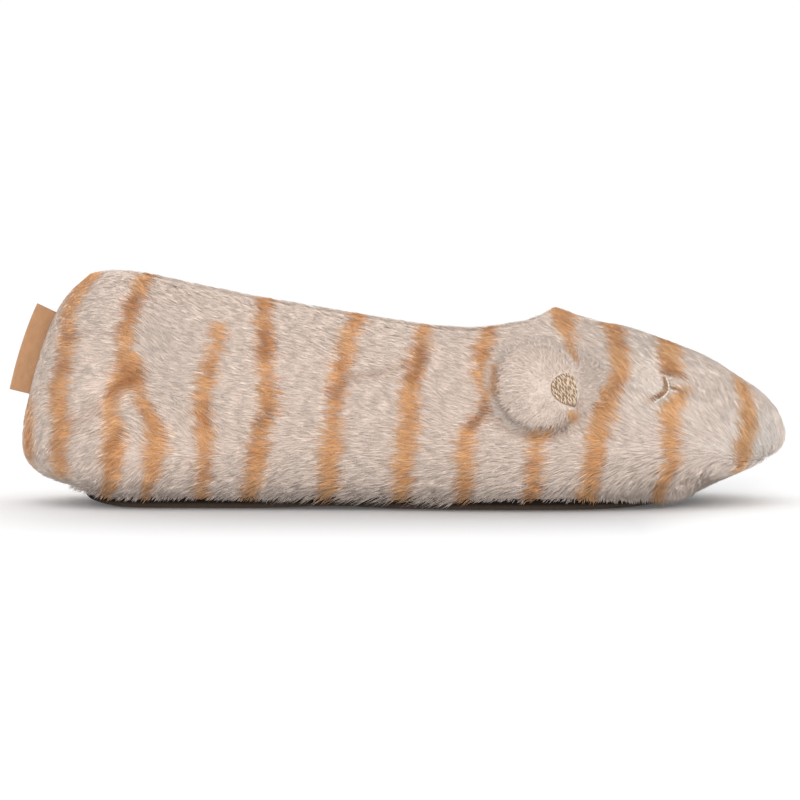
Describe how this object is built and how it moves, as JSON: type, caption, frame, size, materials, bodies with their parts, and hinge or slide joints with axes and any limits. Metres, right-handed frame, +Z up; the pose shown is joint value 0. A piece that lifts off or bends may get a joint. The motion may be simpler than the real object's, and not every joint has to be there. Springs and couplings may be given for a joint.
{
  "type": "ballerina slipper",
  "caption": "Plush ballerina slipper for a right foot: hollow striped fur upper with animal ears and a sleeping face, soft rolled collar, padded footbed and a thin dark flexible sole.",
  "frame": {"origin": "on the floor, at the middle of the slipper's box in length and width", "axes": "+X to the toe, +Y to the medial side of this right shoe, +Z up"},
  "size_m": [0.2652, 0.1136, 0.0774],
  "materials": {
    "plush": "short dense faux fur in warm beige with tan stripes, matt",
    "sole_rubber": "matt near-black flexible sole with small grip dots",
    "footbed": "brushed beige textile over foam",
    "gold_thread": "satin-stitched pale gold metallic thread",
    "ribbon": "plain woven brown satin ribbon, folded, bare"
  },
  "bodies": {
    "root": {"upper": "plush", "outsole": "sole_rubber", "insole": "footbed", "ear_lateral": "plush", "ear_medial": "plush", "ear_patch_lateral": "gold_thread", "ear_patch_medial": "gold_thread", "heel_tab": "ribbon"}
  },
  "joints": []
}
